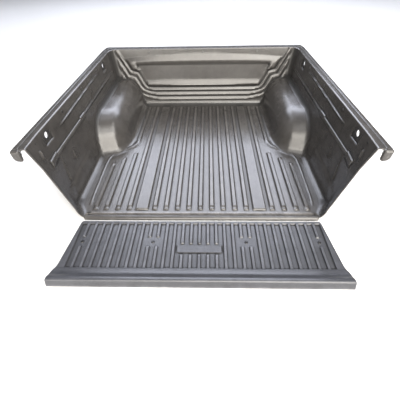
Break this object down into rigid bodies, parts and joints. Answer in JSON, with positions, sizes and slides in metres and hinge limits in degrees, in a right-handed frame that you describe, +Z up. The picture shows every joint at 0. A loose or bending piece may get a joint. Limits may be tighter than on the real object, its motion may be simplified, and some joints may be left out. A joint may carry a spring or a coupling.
{
  "type": "truck bed liner",
  "caption": "Over-rail moulded plastic bed liner tub with ribbed floor, wheel-arch covers and a hinged tailgate liner.",
  "frame": {"origin": "on the truck's bed floor, under the middle of the outline that the rails and the lowered tailgate liner make", "axes": "+X across the bed to the right when looking at the cab, +Y towards the cab, +Z up"},
  "size_m": [1.774, 2.086, 0.482],
  "materials": {
    "liner_plastic": "satin black polyethylene with a fine pebble grain",
    "grommet_rubber": "matt black moulded rubber",
    "black_steel": "black e-coated steel, satin",
    "spring_steel": "zinc-plated spring steel",
    "foam_tape": "closed-cell foam tape, matt"
  },
  "bodies": {
    "tub": {"tub_liner": "liner_plastic", "tie_down_grommet_rear_left": "grommet_rubber", "tie_down_grommet_rear_right": "grommet_rubber", "tie_down_grommet_front_left": "grommet_rubber", "tie_down_grommet_front_right": "grommet_rubber", "rail_screws_left": "black_steel", "rail_screws_right": "black_steel", "rail_screws_front": "black_steel", "rail_washers_left": "black_steel", "rail_washers_right": "black_steel", "rail_washers_front": "black_steel", "rail_spring_nuts_left": "spring_steel", "rail_spring_nuts_right": "spring_steel", "rail_spring_nuts_front": "spring_steel", "rail_foam_left": "foam_tape", "rail_foam_right": "foam_tape", "rail_foam_front": "foam_tape", "floor_foam_strips": "foam_tape"},
    "tailgate": {"tailgate_liner": "liner_plastic", "tailgate_screws": "black_steel", "tailgate_cup_washers": "black_steel", "tailgate_spring_nuts": "spring_steel", "tailgate_foam_strips": "foam_tape"}
  },
  "joints": [
    {"name": "tailgate_hinge", "type": "hinge", "parent": "tub", "child": "tailgate", "pos_m": [0, -0.644, 0.003], "axis": [-1, 0, 0], "range_deg": [0, 90]}
  ]
}
